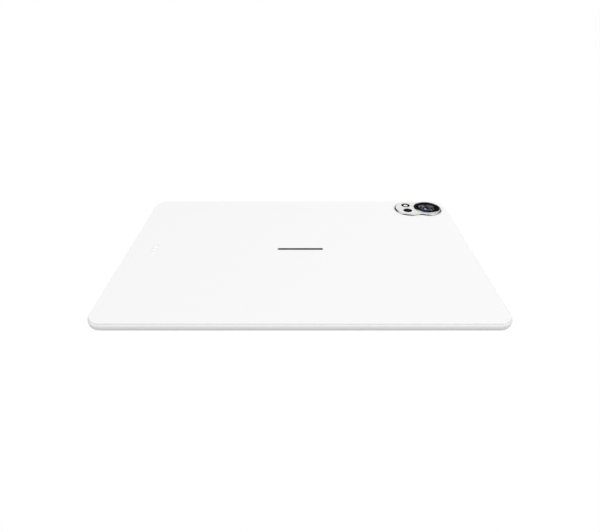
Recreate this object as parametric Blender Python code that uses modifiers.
"""Tablet computer lying on its screen, every separate piece as its own object.

+X runs along the long side, +Y towards the long edge that carries the volume key, +Z up through the back.
The origin is the middle of the screen glass's outer face, which the tablet rests on.
"""

import math

import bmesh
import bpy
from mathutils import Matrix, Vector

MM = 0.001

# ---------------------------------------------------------------- driving dimensions
LENGTH = 271.25 * MM
WIDTH = 182.53 * MM
THICKNESS = 5.9 * MM
CORNER = 10.2 * MM
CORNER_STEPS = 8
GAP = 0.05 * MM  # glued and stacked pieces stand this far apart
TAPE_GAP = 0.02 * MM

# The rim's outside is two quarter ellipses, furthest out above mid thickness and drawn in below.
RIM_BULGE = 1.2 * MM
RIM_STEPS = 6
RIM_LOW = 0.35 * MM
RIM_HIGH = 5.75 * MM
RIM_MIDDLE = 3.6 * MM

# How far inside the outline, and at what height, the frame is hollowed out.
GLASS_SEAT_INSET = 1.45 * MM
COVER_SEAT_INSET = 0.75 * MM
CAVITY_INSET = 3.2 * MM
PANEL_SEAT_INSET = 5.0 * MM
GLASS_SEAT = 0.62 * MM
FLOOR_LOW = 1.40 * MM
FLOOR_HIGH = 1.75 * MM
COVER_SEAT = 5.10 * MM
CUT_PAST = 1.0 * MM  # a cutter runs this far past the face it opens

GLASS_HIGH = 0.50 * MM
COVER_LOW = 5.25 * MM
PLATE_ROUNDING = 0.25 * MM

INNER_WALL_X = LENGTH / 2 - CAVITY_INSET
INNER_WALL_Y = WIDTH / 2 - CAVITY_INSET
KEY_HEIGHT = 2.95 * MM  # middle of the keys, the port and the microphone
SPEAKER_HEIGHT = 2.75 * MM

# Where the working pieces sit.
MAIN_CAMERA = Vector((116.9, 73.6)) * MM
SECOND_CAMERA = Vector((98.5, 68.6)) * MM
FLASH = Vector((98.5, 79.2)) * MM
FRONT_CAMERA = Vector((0.0, WIDTH / 2 - 3.7 * MM))
CONTACTS = [Vector((-114.9, 0.6 + 4.8 * step)) * MM for step in (1, 0, -1)]
SPEAKERS = [(side, end * 42.0 * MM) for side in (1, -1) for end in (1, -1)]
BOARD_SCREWS = [Vector(place) * MM for place in ((64, -56), (107, -56), (64, 54), (96, 54))]
CAMERA_SCREWS = [Vector(place) * MM for place in ((106, 63.5), (128, 84))]
POWER_KEY_Y = 66.0 * MM
VOLUME_KEY_X = 74.0 * MM
MICROPHONE_X = -30.0 * MM
DISPLAY_RIBBON = Vector((86.0, -66.0)) * MM

# A piece's size is given once where the frame or the cover is cut to fit it.
POWER_KEY = (12.0 * MM, 1.8 * MM)
VOLUME_KEY = (24.0 * MM, 1.8 * MM)
POWER_CLEARANCE = 0.10 * MM
VOLUME_CLEARANCE = 0.16 * MM
PORT_OUTER = (8.94 * MM, 3.0 * MM)
PORT_CLEARANCE = 0.10 * MM
CONTACT_RADIUS = 2.1 * MM
BOARD_LOW = 2.45 * MM
RETAINER_LOW = 2.65 * MM
SCREW_HOLE = 0.75 * MM
SCREW_TIP = 2.0 * MM
SMALL_STEPS = 8

# Turns that stand a flat outline up against a wall, with its thickness running outwards.
FACE_PLUS_X = (math.pi / 2, 0.0, math.pi / 2)
FACE_MINUS_X = (math.pi / 2, 0.0, -math.pi / 2)
FACE_PLUS_Y = (math.pi / 2, 0.0, math.pi)

# ---------------------------------------------------------------- scene and materials
for old in list(bpy.data.objects):
    bpy.data.objects.remove(old, do_unlink=True)

parts = bpy.data.collections.new("tablet")
cutters = bpy.data.collections.new("cutters")
cutters.hide_render = True
for group in (parts, cutters):
    bpy.context.scene.collection.children.link(group)

tablet = bpy.data.objects.new("tablet_origin", None)
parts.objects.link(tablet)


def finish(name, colour, roughness, metallic=0.0):
    """A Principled material of one colour."""
    material = bpy.data.materials.new(name)
    material.use_nodes = True
    shader = material.node_tree.nodes["Principled BSDF"]
    shader.inputs["Base Color"].default_value = (*colour, 1.0)
    shader.inputs["Roughness"].default_value = roughness
    shader.inputs["Metallic"].default_value = metallic
    return material


PEARL_WHITE = finish("pearl_white", (0.90, 0.90, 0.90), 0.45)
SILVER = finish("satin_silver", (0.86, 0.86, 0.87), 0.30, 1.0)
POLISHED = finish("polished_silver", (0.88, 0.88, 0.90), 0.08, 1.0)
BLACK_GLASS = finish("black_glass", (0.01, 0.01, 0.012), 0.04)
LENS_GLASS = finish("lens_glass", (0.04, 0.07, 0.14), 0.03)
BLACK_METAL = finish("black_metal", (0.03, 0.03, 0.035), 0.35, 0.8)
BLACK_PLASTIC = finish("black_plastic", (0.04, 0.04, 0.045), 0.5)
LED_CREAM = finish("led_cream", (0.92, 0.84, 0.62), 0.3)
STEEL = finish("stamped_steel", (0.62, 0.63, 0.65), 0.35, 1.0)
BOARD_GREEN = finish("board_green", (0.05, 0.16, 0.12), 0.5)
RIBBON_AMBER = finish("ribbon_amber", (0.45, 0.26, 0.08), 0.4)
CELL_WRAP = finish("cell_wrap", (0.12, 0.12, 0.13), 0.45)
GOLD = finish("contact_gold", (0.83, 0.68, 0.38), 0.25, 1.0)
TAPE_BLACK = finish("adhesive_tape", (0.08, 0.08, 0.08), 0.7)
GRAPHITE = finish("graphite", (0.16, 0.16, 0.17), 0.4, 0.3)


# ---------------------------------------------------------------- shapes
def settle(piece, material, at, turn=(0.0, 0.0, 0.0), group=parts):
    """Gives a new mesh object its place, parent and material, and smooths it between its sharp edges."""
    group.objects.link(piece)
    piece.parent = tablet
    piece.location = at
    piece.rotation_euler = turn
    if material:
        piece.data.materials.append(material)
    piece.data.shade_smooth()
    piece.data.set_sharp_from_angle(angle=math.radians(35))
    return piece


def add(name, mesh, material, at=(0.0, 0.0, 0.0), turn=(0.0, 0.0, 0.0), group=parts):
    """Makes the object that holds a bmesh."""
    data = bpy.data.meshes.new(name)
    bmesh.ops.recalc_face_normals(mesh, faces=mesh.faces)
    mesh.to_mesh(data)
    mesh.free()
    return settle(bpy.data.objects.new(name, data), material, at, turn, group)


def helper(name, mesh, at=(0.0, 0.0, 0.0), turn=(0.0, 0.0, 0.0)):
    """A shape that only cuts or joins."""
    piece = add(name, mesh, None, at, turn, cutters)
    piece.hide_render = True
    piece.display_type = "WIRE"
    return piece


def boolean(piece, other, operation):
    step = piece.modifiers.new(other.name, "BOOLEAN")
    step.operation = operation
    step.object = other


def cut(piece, name, mesh, at=(0.0, 0.0, 0.0), turn=(0.0, 0.0, 0.0)):
    boolean(piece, helper(name, mesh, at, turn), "DIFFERENCE")


def join(piece, name, mesh, at=(0.0, 0.0, 0.0), turn=(0.0, 0.0, 0.0)):
    boolean(piece, helper(name, mesh, at, turn), "UNION")


def level_edges(mesh, height):
    """The edges that lie flat at one height."""
    return [e for e in mesh.edges if all(math.isclose(v.co.z, height, abs_tol=1e-7) for v in e.verts)]


def upright_edges(mesh):
    return [e for e in mesh.edges if e.verts[0].co.xy == e.verts[1].co.xy]


def round_off(mesh, edges, radius, steps):
    bmesh.ops.bevel(
        mesh,
        geom=edges,
        offset=radius,
        offset_type="OFFSET",
        segments=steps,
        profile=0.5,
        affect="EDGES",
        clamp_overlap=False,
        material=-1,
    )


def block(size, corner=0.0, corner_steps=3, top=0.0, bottom=0.0):
    """A block standing on its origin, with round upright corners and rounded top or bottom edges."""
    mesh = bmesh.new()
    bmesh.ops.create_cube(mesh, size=1.0)
    bmesh.ops.translate(mesh, vec=(0.0, 0.0, 0.5), verts=mesh.verts)
    bmesh.ops.scale(mesh, vec=size, verts=mesh.verts)
    if corner:
        round_off(mesh, upright_edges(mesh), corner, corner_steps)
    if top:
        round_off(mesh, level_edges(mesh, size[2]), top, 2)
    if bottom:
        round_off(mesh, level_edges(mesh, 0.0), bottom, 2)
    return mesh


def inset_block(inset, height, **rounding):
    """A block with the tablet's own outline, moved inwards."""
    size = (LENGTH - 2 * inset, WIDTH - 2 * inset, height)
    return block(size, corner=CORNER - inset, corner_steps=CORNER_STEPS, **rounding)


def cylinder(radius, height, steps):
    """A cylinder standing on its origin."""
    mesh = bmesh.new()
    bmesh.ops.create_cone(
        mesh, cap_ends=True, segments=steps, radius1=radius, radius2=radius, depth=height
    )
    bmesh.ops.translate(mesh, vec=(0.0, 0.0, height / 2), verts=mesh.verts)
    return mesh


def raise_top(mesh, size, height):
    """Shrinks the inside of the top face to a size, and lifts it as a smaller block."""
    face = max(mesh.faces, key=lambda f: f.calc_center_median().z)
    bmesh.ops.inset_region(mesh, faces=[face], thickness=GAP)
    for axis, wanted in enumerate(size):
        reach = max(abs(v.co[axis]) for v in face.verts)
        for v in face.verts:
            v.co[axis] *= wanted / 2 / reach
    raised = bmesh.ops.extrude_face_region(mesh, geom=[face])
    bmesh.ops.delete(mesh, geom=[face], context="FACES_ONLY")
    lifted = [item for item in raised["geom"] if isinstance(item, bmesh.types.BMVert)]
    bmesh.ops.translate(mesh, vec=(0.0, 0.0, height), verts=lifted)
    return mesh


def gather(mesh, other, at):
    """Copies another bmesh in at a place, and frees it."""
    spare = bpy.data.meshes.new("spare")
    bmesh.ops.translate(other, vec=at, verts=other.verts)
    other.to_mesh(spare)
    other.free()
    mesh.from_mesh(spare)
    bpy.data.meshes.remove(spare)


def arc(centre, radius, start, end, steps):
    """Points along an arc, angles in degrees."""
    turns = [math.radians(start + (end - start) * k / steps) for k in range(steps + 1)]
    return [(centre[0] + radius * math.cos(t), centre[1] + radius * math.sin(t)) for t in turns]


def circle(centre, radius, steps):
    return arc(centre, radius, 0, 360, steps)[:-1]


def round_rectangle(length, width, corner, steps, centre=(0.0, 0.0)):
    points = []
    for side_x, side_y, start in ((1, 1, 0), (-1, 1, 90), (-1, -1, 180), (1, -1, 270)):
        x = centre[0] + side_x * (length / 2 - corner)
        y = centre[1] + side_y * (width / 2 - corner)
        points += arc((x, y), corner, start, start + 90, steps)
    return points


def stadium(size, grow=0.0, steps=6):
    """A slot's outline along X, grown outwards all round."""
    reach = (size[0] - size[1]) / 2
    radius = size[1] / 2 + grow
    return arc((reach, 0.0), radius, -90, 90, steps) + arc((-reach, 0.0), radius, 90, 270, steps)


def plate(outlines, height):
    """A flat plate standing on its origin. Each outline after the first is a hole in it."""
    curve = bpy.data.curves.new("outline", "CURVE")
    curve.dimensions = "2D"
    curve.fill_mode = "BOTH"
    curve.extrude = height / 2
    for outline in outlines:
        spline = curve.splines.new("POLY")
        spline.points.add(len(outline) - 1)
        for point, (x, y) in zip(spline.points, outline):
            point.co = (x, y, 0.0, 1.0)
        spline.use_cyclic_u = True
    guide = bpy.data.objects.new("outline", curve)
    cutters.objects.link(guide)
    bpy.context.view_layer.update()
    evaluated = guide.evaluated_get(bpy.context.evaluated_depsgraph_get())
    data = bpy.data.meshes.new_from_object(evaluated)
    mesh = bmesh.new()
    mesh.from_mesh(data)
    bpy.data.meshes.remove(data)
    bpy.data.objects.remove(guide)
    bpy.data.curves.remove(curve)
    bmesh.ops.remove_doubles(mesh, verts=mesh.verts, dist=1e-7)
    bmesh.ops.dissolve_limit(mesh, angle_limit=math.radians(0.5), verts=mesh.verts, edges=mesh.edges)
    bmesh.ops.translate(mesh, vec=(0.0, 0.0, height / 2), verts=mesh.verts)
    return mesh


def turned(name, profile, steps, material, at):
    """Spins a profile of (radius, height) points in millimetres about Z.

    A disc's profile runs from the axis back to the axis, and a ring's is a closed loop.
    """
    count = len(profile)
    on_axis = profile[0][0] == 0.0
    links = [(k, (k + 1) % count) for k in range(count - 1 if on_axis else count)]
    data = bpy.data.meshes.new(name)
    data.from_pydata([(radius * MM, 0.0, height * MM) for radius, height in profile], links, [])
    piece = settle(bpy.data.objects.new(name, data), material, at)
    screw = piece.modifiers.new("turn", "SCREW")
    screw.angle = math.tau
    screw.steps = steps
    screw.render_steps = steps
    screw.use_merge_vertices = True
    screw.merge_threshold = 1e-7


# ---------------------------------------------------------------- frame
BOSS_RADIUS = 1.6 * MM


def frame_blank():
    """A low block whose rims are rounded to a half circle, its two halves stretched to their own heights."""
    height = 2 * RIM_BULGE
    just_short = 0.999  # keeps the two rounded rims from meeting
    mesh = inset_block(0.0, height)
    for level in (height, 0.0):
        round_off(mesh, level_edges(mesh, level), RIM_BULGE * just_short, RIM_STEPS)
    for vertex in mesh.verts:
        up = vertex.co.z / RIM_BULGE - 1.0
        reach = RIM_HIGH - RIM_MIDDLE if up > 0.0 else RIM_MIDDLE - RIM_LOW
        vertex.co.z = RIM_MIDDLE - RIM_LOW + up * reach
    return mesh


def hollow_frame(frame):
    """The seats of the two face plates and the space for the works, with a thin floor left between."""
    past_back = THICKNESS + CUT_PAST
    hollows = {
        "cover_seat": (COVER_SEAT_INSET, COVER_SEAT, past_back),
        "cavity": (CAVITY_INSET, FLOOR_HIGH, past_back),
        "glass_seat": (GLASS_SEAT_INSET, -CUT_PAST, GLASS_SEAT),
        "panel_seat": (PANEL_SEAT_INSET, -CUT_PAST, FLOOR_LOW),
    }
    for name, (inset, low, high) in hollows.items():
        cut(frame, f"cut_{name}", inset_block(inset, high - low), at=(0.0, 0.0, low))


def pierce_floor(frame):
    """The front camera's well, the display ribbon's slot, and the pocket that the port sinks into."""
    openings = {
        "front_camera": (FRONT_CAMERA, (5.2 * MM, 3.8 * MM)),
        "display_ribbon": (DISPLAY_RIBBON, (24.0 * MM, 3.0 * MM)),
        "port_pocket": (Vector((-INNER_WALL_X + 4.0 * MM, 0.0)), (8.0 * MM, 9.8 * MM)),
    }
    low = GLASS_SEAT + 0.5 * MM
    for name, (place, size) in openings.items():
        start = -CUT_PAST if name == "front_camera" else low
        opening = block((*size, COVER_SEAT + CUT_PAST - start))
        cut(frame, f"cut_{name}", opening, at=(*place, start))


def pierce_rim(frame):
    """The slots of both keys and the port, the microphone's hole, and a row of holes for each speaker."""
    depth = CAVITY_INSET + 2 * CUT_PAST
    start_x = INNER_WALL_X - CUT_PAST
    start_y = INNER_WALL_Y - CUT_PAST
    slots = {
        "power": (stadium(POWER_KEY, POWER_CLEARANCE), (start_x, POWER_KEY_Y), FACE_PLUS_X),
        "volume": (stadium(VOLUME_KEY, VOLUME_CLEARANCE), (VOLUME_KEY_X, start_y), FACE_PLUS_Y),
        "port": (stadium(PORT_OUTER, PORT_CLEARANCE), (-start_x, 0.0), FACE_MINUS_X),
        "voice": (circle((0.0, 0.0), 0.5 * MM, SMALL_STEPS), (MICROPHONE_X, start_y), FACE_PLUS_Y),
    }
    for name, (outline, place, turn) in slots.items():
        cut(frame, f"cut_{name}", plate([outline], depth), (*place, KEY_HEIGHT), turn)

    count, pitch, radius = 11, 2.3 * MM, 0.55 * MM
    for number, (side, y) in enumerate(SPEAKERS, 1):
        row = bmesh.new()
        for k in range(count):
            offset = (k - (count - 1) / 2) * pitch
            gather(row, cylinder(radius, depth, SMALL_STEPS), (offset, 0.0, 0.0))
        turn = FACE_PLUS_X if side > 0 else FACE_MINUS_X
        cut(frame, f"cut_speaker_row_{number}", row, (side * start_x, y, SPEAKER_HEIGHT), turn)


def add_bosses(frame):
    """The round bosses that the boards are screwed to."""
    root = FLOOR_HIGH - GAP
    tops = [(place, BOARD_LOW - GAP) for place in BOARD_SCREWS]
    tops += [(place, RETAINER_LOW - GAP) for place in CAMERA_SCREWS]
    posts = bmesh.new()
    holes = bmesh.new()
    for place, top in tops:
        gather(posts, cylinder(BOSS_RADIUS, top - root, 12), (*place, root))
        gather(holes, cylinder(SCREW_HOLE, CUT_PAST, SMALL_STEPS), (*place, SCREW_TIP - 2 * GAP))
    join(frame, "join_bosses", posts)
    cut(frame, "cut_screw_holes", holes)


def make_frame():
    """One milled aluminium piece: rim, ledges, floor and bosses."""
    frame = add("mid_frame", frame_blank(), SILVER, at=(0.0, 0.0, RIM_LOW))
    hollow_frame(frame)
    pierce_floor(frame)
    pierce_rim(frame)
    add_bosses(frame)


make_frame()

# ---------------------------------------------------------------- screen
PANEL_INSET = 5.6 * MM
PANEL_LOW = GLASS_HIGH + GAP
PANEL_HIGH = FLOOR_LOW - GAP


def tape(name, outer_inset, inner_inset, low, high):
    """A closed strip of tape that follows the outline."""
    edges = [
        round_rectangle(LENGTH - 2 * inset, WIDTH - 2 * inset, CORNER - inset, CORNER_STEPS)
        for inset in (outer_inset, inner_inset)
    ]
    return add(name, plate(edges, high - low), TAPE_BLACK, at=(0.0, 0.0, low))


def make_screen():
    """Cover glass, the panel bonded behind it, and the tape that holds the glass to the frame."""
    sheet = inset_block(GLASS_SEAT_INSET + GAP, GLASS_HIGH, bottom=PLATE_ROUNDING)
    add("front_glass", sheet, BLACK_GLASS)
    panel = inset_block(PANEL_INSET, PANEL_HIGH - PANEL_LOW)
    add("display_panel", panel, BLACK_PLASTIC, at=(0.0, 0.0, PANEL_LOW))
    strip = tape("display_adhesive", 1.9 * MM, 4.6 * MM, GLASS_HIGH + TAPE_GAP, GLASS_SEAT - TAPE_GAP)
    sight = block((5.2 * MM, 4.0 * MM, 2 * CUT_PAST))
    cut(strip, "cut_tape_for_camera", sight, at=(*FRONT_CAMERA, 0.0))


make_screen()

# ---------------------------------------------------------------- back cover
ISLAND_RADIUS = 13.6 * MM
ISLAND_LEFT = Vector((100.8, 73.6)) * MM
ISLAND_RIGHT = MAIN_CAMERA
WAIST_RADIUS = 9.0 * MM
ISLAND_CLEARANCE = 0.08 * MM


def gourd(grow=0.0):
    """Two round lobes joined by a hollow waist on each side, grown outwards all round."""
    lobe = ISLAND_RADIUS + grow
    waist = WAIST_RADIUS - grow
    half = (ISLAND_RIGHT.x - ISLAND_LEFT.x) / 2
    middle = (ISLAND_LEFT + ISLAND_RIGHT) / 2
    rise = math.sqrt((lobe + waist) ** 2 - half**2)
    lean = math.degrees(math.atan2(rise, half))
    right = arc(ISLAND_RIGHT, lobe, lean - 180, 180 - lean, 16)
    upper = arc((middle.x, middle.y + rise), waist, -lean, lean - 180, 3)
    left = arc(ISLAND_LEFT, lobe, lean, 360 - lean, 16)
    lower = arc((middle.x, middle.y - rise), waist, 180 - lean, lean, 3)
    return right + upper[1:-1] + left + lower[1:-1]


def make_cover():
    """The white back plate, open for the camera island and the keyboard contacts, and its tape."""
    height = THICKNESS - COVER_LOW
    blank = inset_block(COVER_SEAT_INSET + GAP, height, top=PLATE_ROUNDING)
    cover = add("back_cover", blank, PEARL_WHITE, at=(0.0, 0.0, COVER_LOW))
    window = plate([gourd(ISLAND_CLEARANCE)], height + 2 * CUT_PAST)
    cut(cover, "cut_island", window, at=(0.0, 0.0, COVER_LOW - CUT_PAST))
    for number, place in enumerate(CONTACTS, 1):
        hole = cylinder(CONTACT_RADIUS + 2 * GAP, height + 2 * CUT_PAST, 16)
        cut(cover, f"cut_contact_{number}", hole, at=(*place, COVER_LOW - CUT_PAST))
    tape("back_cover_adhesive", 1.75 * MM, 3.0 * MM, COVER_SEAT + TAPE_GAP, COVER_LOW - TAPE_GAP)


make_cover()

# ---------------------------------------------------------------- camera island
ISLAND_TOP = 7.2 * MM
ISLAND_FOOT = 4.3 * MM
ISLAND_EDGE = 1.5 * MM
FLANGE_LOW = ISLAND_FOOT + 0.1 * MM
FLANGE_HIGH = COVER_LOW - GAP
SMALL_WINDOW = 3.88 * MM
SMALL_WINDOW_HIGH = 7.12 * MM
LENS_STEPS = 40


def make_island():
    """The raised double-lobed housing. A flange under the cover keeps it in, and three bores go through."""
    height = ISLAND_TOP - ISLAND_FOOT
    body = plate([gourd()], height)
    round_off(body, level_edges(body, height), ISLAND_EDGE, 3)
    island = add("camera_island", body, SILVER, at=(0.0, 0.0, ISLAND_FOOT))
    flange = plate([gourd(grow=0.8 * MM)], FLANGE_HIGH - FLANGE_LOW)
    join(island, "join_island_flange", flange, at=(0.0, 0.0, FLANGE_LOW))
    small_bore = SMALL_WINDOW + GAP
    bores = {"main": (MAIN_CAMERA, 10.9 * MM), "second": (SECOND_CAMERA, small_bore), "flash": (FLASH, small_bore)}
    for name, (place, radius) in bores.items():
        bore = cylinder(radius, height + 2 * CUT_PAST, 32)
        cut(island, f"cut_{name}_bore", bore, at=(*place, ISLAND_FOOT - CUT_PAST))


def make_main_window():
    """The polished ring in the large bore, its glass, and the stepped black baffle under the glass."""
    at = (*MAIN_CAMERA, 0.0)
    crown = [(10.5, 7.95), (10.8, 8.05), (11.4, 8.0), (11.9, 7.6), (11.9, 7.25)]
    skirt = [(10.8, 7.25), (10.8, 6.2), (10.0, 6.2), (10.0, 7.45), (10.5, 7.45)]
    glass = [(0.0, 7.9), (10.25, 7.9), (10.43, 7.75), (10.43, 7.5), (0.0, 7.5)]
    baffle = [(2.9, 6.95), (3.4, 7.05), (7.4, 7.2), (7.6, 7.38), (9.9, 7.38), (9.9, 6.6), (2.9, 6.6)]
    turned("main_lens_ring", crown + skirt, LENS_STEPS, POLISHED, at)
    turned("main_lens_glass", glass, LENS_STEPS, BLACK_GLASS, at)
    turned("main_lens_baffle", baffle, LENS_STEPS, BLACK_METAL, at)


def make_small_windows():
    """The second camera's window and the flash's diffuser."""
    windows = {
        "second_lens_glass": (SECOND_CAMERA, 0.4 * MM, BLACK_GLASS),
        "flash_window": (FLASH, 0.6 * MM, LED_CREAM),
    }
    for name, (place, height, material) in windows.items():
        disc = cylinder(SMALL_WINDOW, height, 24)
        add(name, disc, material, at=(*place, SMALL_WINDOW_HIGH - height))


make_island()
make_main_window()
make_small_windows()

# ---------------------------------------------------------------- camera modules under the island
CAMERA_BOARD_LOW = FLOOR_HIGH + 2 * GAP
CAMERA_BOARD_HIGH = 2.55 * MM
HOUSING_LOW = CAMERA_BOARD_HIGH + GAP
BARREL_LOW = 3.3 * MM
BARREL_HEIGHT = 2.8  # millimetres, as the turned profiles are
SNOUT_HEIGHT = 3.5
LENS_RECESS = 0.3
RETAINER_HIGH = RETAINER_LOW + 0.3 * MM


def make_main_camera():
    """Sensor board, motor can, and the barrel and front element that the motor lifts to focus."""
    board = block((16.6 * MM, 17.6 * MM, CAMERA_BOARD_HIGH - CAMERA_BOARD_LOW))
    add("main_camera_board", board, BOARD_GREEN, at=(*MAIN_CAMERA, CAMERA_BOARD_LOW))
    can = block((15.0 * MM, 15.0 * MM, 3.5 * MM), corner=1.0 * MM, top=0.3 * MM)
    housing = add("main_camera_housing", can, BLACK_METAL, at=(*MAIN_CAMERA, HOUSING_LOW))
    bore = cylinder(5.3 * MM, 2 * BARREL_HEIGHT * MM, 32)
    cut(housing, "cut_barrel_bore", bore, at=(*MAIN_CAMERA, BARREL_LOW - 2 * GAP))

    # Both moving pieces have their origin on the optical axis, which the focus slide runs along.
    seat = SNOUT_HEIGHT - LENS_RECESS
    barrel = [(0.0, seat), (2.4, seat), (2.4, SNOUT_HEIGHT), (2.75, SNOUT_HEIGHT)]
    barrel += [(2.75, BARREL_HEIGHT), (4.6, BARREL_HEIGHT), (5.2, BARREL_HEIGHT - 0.5)]
    barrel += [(5.2, 0.0), (0.0, 0.0)]
    element = [(0.0, 0.6), (1.0, 0.54), (1.7, 0.38), (2.3, 0.1), (2.3, 0.0), (0.0, 0.0)]
    turned("main_camera_barrel", barrel, 32, BLACK_METAL, (*MAIN_CAMERA, BARREL_LOW))
    turned("main_camera_lens", element, 32, LENS_GLASS, (*MAIN_CAMERA, BARREL_LOW + seat * MM + GAP))


def make_second_camera():
    """The fixed-focus wide camera."""
    height = 1.6 * MM
    housing = block((8.6 * MM, 8.6 * MM, height), corner=0.6 * MM)
    add("second_camera_housing", housing, BLACK_METAL, at=(*SECOND_CAMERA, HOUSING_LOW))
    barrel = raise_top(cylinder(3.0 * MM, 2.1 * MM, 24), (3.8 * MM, 3.8 * MM), 0.2 * MM)
    add("second_camera_barrel", barrel, BLACK_METAL, at=(*SECOND_CAMERA, HOUSING_LOW + height + GAP))


def make_flash():
    """The flash's two-step LED package under its diffuser."""
    lamp = raise_top(block((5.0 * MM, 5.0 * MM, 0.5 * MM)), (2.8 * MM, 2.8 * MM), 0.6 * MM)
    add("flash_led", lamp, LED_CREAM, at=(*FLASH, 5.3 * MM))


def make_retainer():
    """The stamped plate that both camera modules look through and that holds their boards down."""
    outer = round_rectangle(40.0 * MM, 25.0 * MM, 2.0 * MM, 3, (109.0 * MM, 73.7 * MM))
    main_window = round_rectangle(15.6 * MM, 15.6 * MM, 1.0 * MM, 2, MAIN_CAMERA)
    second_window = round_rectangle(9.2 * MM, 9.2 * MM, 0.8 * MM, 2, SECOND_CAMERA)
    holes = [circle(place, SCREW_HOLE, SMALL_STEPS) for place in CAMERA_SCREWS]
    sheet = plate([outer, main_window, second_window, *holes], RETAINER_HIGH - RETAINER_LOW)
    add("camera_retainer", sheet, STEEL, at=(0.0, 0.0, RETAINER_LOW))
    add_screws("camera_screw", CAMERA_SCREWS, RETAINER_HIGH)


def add_screws(name, places, seat):
    """Flat-headed screws whose heads rest on a seat."""
    under_head = (seat + GAP - SCREW_TIP) / MM
    top = under_head + 0.35
    profile = [(0.0, top), (1.3, top), (1.3, under_head), (0.65, under_head), (0.65, 0.0), (0.0, 0.0)]
    for number, place in enumerate(places, 1):
        turned(f"{name}_{number}", profile, SMALL_STEPS, STEEL, (*place, SCREW_TIP))


make_main_camera()
make_second_camera()
make_flash()
make_retainer()

# ---------------------------------------------------------------- front camera and microphone


def make_front_camera():
    """The module that looks out through the screen glass."""
    housing = block((4.4 * MM, 3.4 * MM, 2.8 * MM), corner=0.3 * MM)
    add("front_camera_housing", housing, BLACK_METAL, at=(*FRONT_CAMERA, 1.5 * MM))
    add("front_camera_barrel", cylinder(1.5 * MM, 0.8 * MM, 16), LENS_GLASS, at=(*FRONT_CAMERA, 0.65 * MM))


def make_microphone():
    """A metal-lidded microphone behind its hole in the rim."""
    capsule = block((3.5 * MM, 2.6 * MM, 1.1 * MM), corner=0.3 * MM)
    place = (MICROPHONE_X, INNER_WALL_Y - 1.4 * MM, KEY_HEIGHT - 0.55 * MM)
    add("microphone", capsule, STEEL, at=place)


make_front_camera()
make_microphone()

# ---------------------------------------------------------------- battery


def make_battery():
    """Two flat pouch cells, and the narrow protection board along the end of one."""
    low = FLOOR_HIGH + 2 * GAP
    for number, x in enumerate((-59.0 * MM, 19.0 * MM), 1):
        cell = block((76.0 * MM, 160.0 * MM, 2.7 * MM), corner=2.0 * MM, top=0.8 * MM, bottom=0.4 * MM)
        add(f"battery_cell_{number}", cell, CELL_WRAP, at=(x, 0.0, low))
    board = raise_top(block((52.0 * MM, 4.0 * MM, 0.8 * MM)), (50.0 * MM, 2.8 * MM), 0.7 * MM)
    add("battery_board", board, BOARD_GREEN, at=(30.0 * MM, 82.8 * MM, low))


make_battery()

# ---------------------------------------------------------------- main board
BOARD_HIGH = BOARD_LOW + 0.8 * MM
SHIELD_LOW = BOARD_HIGH + GAP
SHIELD_HEIGHT = 1.15 * MM


def make_main_board():
    """The logic board on its bosses, held by four screws. One corner is cut away for a speaker."""
    corners = ((60, -60), (111, -60), (111, 26), (100, 30), (100, 58), (60, 58))
    outline = [Vector(corner) * MM for corner in corners]
    holes = [circle(place, SCREW_HOLE, SMALL_STEPS) for place in BOARD_SCREWS]
    add("main_board", plate([outline, *holes], BOARD_HIGH - BOARD_LOW), BOARD_GREEN, at=(0.0, 0.0, BOARD_LOW))
    add_screws("board_screw", BOARD_SCREWS, BOARD_HIGH)


def make_shields():
    """Two tinned cans over the chips, and the graphite sheet that carries the heat away."""
    cans = {"processor_shield": ((44.0, 36.0), (85.0, -28.0)), "radio_shield": ((32.0, 38.0), (79.0, 28.0))}
    for name, (size, place) in cans.items():
        can = block((size[0] * MM, size[1] * MM, SHIELD_HEIGHT), corner=1.0 * MM, top=0.25 * MM)
        add(name, can, STEEL, at=(place[0] * MM, place[1] * MM, SHIELD_LOW))
    sheet = block((48.0 * MM, 70.0 * MM, 0.08 * MM), corner=2.0 * MM)
    add("heat_spreader", sheet, GRAPHITE, at=(85.0 * MM, -22.0 * MM, SHIELD_LOW + SHIELD_HEIGHT + GAP))


make_main_board()
make_shields()

# ---------------------------------------------------------------- charging port
PORT_INNER = (8.34 * MM, 2.56 * MM)
PORT_DEPTH = 7.3 * MM
PORT_BACK = -127.6 * MM


def make_port():
    """The socket's steel shell and tongue, the bracket over the shell, and the board behind it."""
    back = (PORT_BACK, 0.0, KEY_HEIGHT)
    shell = plate([stadium(PORT_OUTER), stadium(PORT_INNER)], PORT_DEPTH)
    add("usb_shell", shell, STEEL, at=back, turn=FACE_MINUS_X)
    root = block((8.0 * MM, 2.2 * MM, 1.0 * MM), corner=1.0 * MM)
    tongue = raise_top(root, (6.7 * MM, 0.7 * MM), 5.0 * MM)
    add("usb_tongue", tongue, BLACK_PLASTIC, at=back, turn=FACE_MINUS_X)
    board = block((26.0 * MM, 46.0 * MM, 0.7 * MM), corner=1.0 * MM)
    add("usb_board", board, BOARD_GREEN, at=(-114.4 * MM, 0.0, 2.0 * MM))
    bracket = block((5.0 * MM, 15.0 * MM, 0.18 * MM), corner=0.6 * MM)
    bracket_low = KEY_HEIGHT + PORT_OUTER[1] / 2 + GAP
    add("usb_bracket", bracket, STEEL, at=(-129.8 * MM, 0.0, bracket_low))


make_port()

# ---------------------------------------------------------------- ribbon cables
RIBBON_THICKNESS = 0.12 * MM


def make_main_ribbon():
    """The long ribbon that runs from the port board round the cells to the main board."""
    inner, outer = -82.2, -85.8
    route = [(-103, -18), (-103, inner), (68, inner), (68, -57), (72, -57), (72, outer), (-107, outer), (-107, -18)]
    outline = [Vector(point) * MM for point in route]
    add("main_ribbon", plate([outline], RIBBON_THICKNESS), RIBBON_AMBER, at=(0.0, 0.0, FLOOR_HIGH + GAP))


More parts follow.
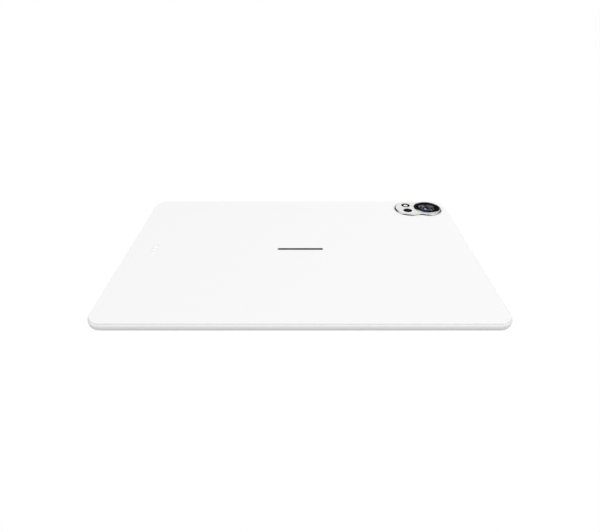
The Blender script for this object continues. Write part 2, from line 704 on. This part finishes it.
def make_display_ribbon():
    """The short ribbon from the screen: up through the floor's slot, then flat onto the board."""
    y = DISPLAY_RIBBON.y
    foot = PANEL_HIGH + GAP
    top = BOARD_HIGH + GAP + RIBBON_THICKNESS
    end = y + 9.5 * MM
    thick = RIBBON_THICKNESS
    side = [(y - thick, foot), (y, foot), (y, top - thick), (end, top - thick), (end, top), (y - thick, top)]
    width = 20.0 * MM
    ribbon = plate([side], width)
    add("display_ribbon", ribbon, RIBBON_AMBER, at=(DISPLAY_RIBBON.x - width / 2, 0.0, 0.0), turn=FACE_PLUS_X)


make_main_ribbon()
make_display_ribbon()

# ---------------------------------------------------------------- speakers


def make_speakers():
    """Four speaker boxes with a sunk cone, each behind a dust mesh on the rim's inner wall."""
    length, width, height = 18.0 * MM, 28.0 * MM, 2.7 * MM
    mesh_size = (0.2 * MM, 26.0 * MM, 2.0 * MM)
    low = FLOOR_HIGH + 2 * GAP
    cone_depth = 0.5 * MM
    for number, (side, y) in enumerate(SPEAKERS, 1):
        mesh_x = side * (INNER_WALL_X - GAP - mesh_size[0] / 2)
        box_x = side * (INNER_WALL_X - 2 * mesh_size[0] - length / 2)
        mesh_low = SPEAKER_HEIGHT - mesh_size[2] / 2
        add(f"speaker_mesh_{number}", block(mesh_size), BLACK_PLASTIC, at=(mesh_x, y, mesh_low))
        body = block((length, width, height), corner=1.5 * MM, top=0.3 * MM)
        box = add(f"speaker_{number}", body, BLACK_PLASTIC, at=(box_x, y, low))
        cone = cylinder(6.5 * MM, cone_depth + CUT_PAST, 20)
        cut(box, f"cut_cone_{number}", cone, at=(box_x, y, low + height - cone_depth))


make_speakers()

# ---------------------------------------------------------------- keys
KEY_PROUD = 0.22 * MM
KEY_REACH = CAVITY_INSET + KEY_PROUD  # from the rim's inner wall to the key's face
FLANGE = 0.5 * MM
NUB = 0.5 * MM
NUB_RADIUS = 0.8 * MM
SWITCH_GAP = 0.35 * MM
SWITCH_DEPTH = 0.8 * MM
SWITCH_HEIGHT = 2.2 * MM


def add_key(name, size, depth, nubs, at, turn):
    """A side key lying along X, its flange's middle at height 0 and its face at the given depth above."""
    foot = -FLANGE / 2
    cap = plate([stadium(size)], depth)
    round_off(cap, level_edges(cap, depth), 0.3 * MM, 2)
    key = add(name, cap, SILVER, at, turn)

    flange = plate([stadium((size[0] + 1.4 * MM, size[1] + 0.4 * MM))], FLANGE)
    bmesh.ops.translate(flange, vec=(0.0, 0.0, foot), verts=flange.verts)
    join(key, f"join_{name}_flange", flange, at, turn)

    studs = bmesh.new()
    for x in nubs:
        gather(studs, cylinder(NUB_RADIUS, NUB + FLANGE / 4, SMALL_STEPS), (x, 0.0, foot - NUB))
    join(key, f"join_{name}_nubs", studs, at, turn)


def make_power_key():
    """The power key slides straight in against one dome switch."""
    axis_x = INNER_WALL_X - 0.12 * MM - FLANGE / 2
    at = (axis_x, POWER_KEY_Y, KEY_HEIGHT)
    add_key("power_button", POWER_KEY, INNER_WALL_X + KEY_REACH - axis_x, [0.0], at, FACE_PLUS_X)
    switch = block((SWITCH_DEPTH, 5.0 * MM, SWITCH_HEIGHT))
    switch_x = axis_x - FLANGE / 2 - NUB - SWITCH_GAP - SWITCH_DEPTH / 2
    add("power_switch", switch, STEEL, at=(switch_x, POWER_KEY_Y, KEY_HEIGHT - SWITCH_HEIGHT / 2))


def make_volume_key():
    """The volume key rocks about the middle of its flange, one nub for louder and one for softer."""
    pivot_y = INNER_WALL_Y - 0.45 * MM - FLANGE / 2
    at = (VOLUME_KEY_X, pivot_y, KEY_HEIGHT)
    nubs = [-8.0 * MM, 8.0 * MM]
    add_key("volume_rocker", VOLUME_KEY, INNER_WALL_Y + KEY_REACH - pivot_y, nubs, at, FACE_PLUS_Y)
    switches = block((22.0 * MM, SWITCH_DEPTH, SWITCH_HEIGHT))
    switch_y = pivot_y - FLANGE / 2 - NUB - SWITCH_GAP - SWITCH_DEPTH / 2
    add("volume_switches", switches, STEEL, at=(VOLUME_KEY_X, switch_y, KEY_HEIGHT - SWITCH_HEIGHT / 2))


make_power_key()
make_volume_key()

# ---------------------------------------------------------------- keyboard contacts and pencil coil


def make_contacts():
    """Three round contacts flush in the cover, on one insulating holder."""
    holder_low, holder_height = 3.5 * MM, 1.4 * MM
    contact_low = holder_low + holder_height + 2 * GAP
    contact_high = THICKNESS - GAP
    for number, place in enumerate(CONTACTS, 1):
        disc = cylinder(CONTACT_RADIUS, contact_high - contact_low, 16)
        add(f"keyboard_contact_{number}", disc, GOLD, at=(*place, contact_low))
    holder = block((7.0 * MM, 16.0 * MM, holder_height), corner=2.5 * MM)
    add("contact_holder", holder, BLACK_PLASTIC, at=(*CONTACTS[1], holder_low))


def make_pencil_coil():
    """The pencil's charging coil and its ferrite, moulded as one piece against the long wall."""
    coil = raise_top(block((30.0 * MM, 3.0 * MM, 1.6 * MM), corner=0.5 * MM), (28.0 * MM, 2.0 * MM), 0.6 * MM)
    add("pencil_coil", coil, GRAPHITE, at=(-80.0 * MM, INNER_WALL_Y - 1.8 * MM, FLOOR_HIGH + 2 * GAP))


make_contacts()
make_pencil_coil()
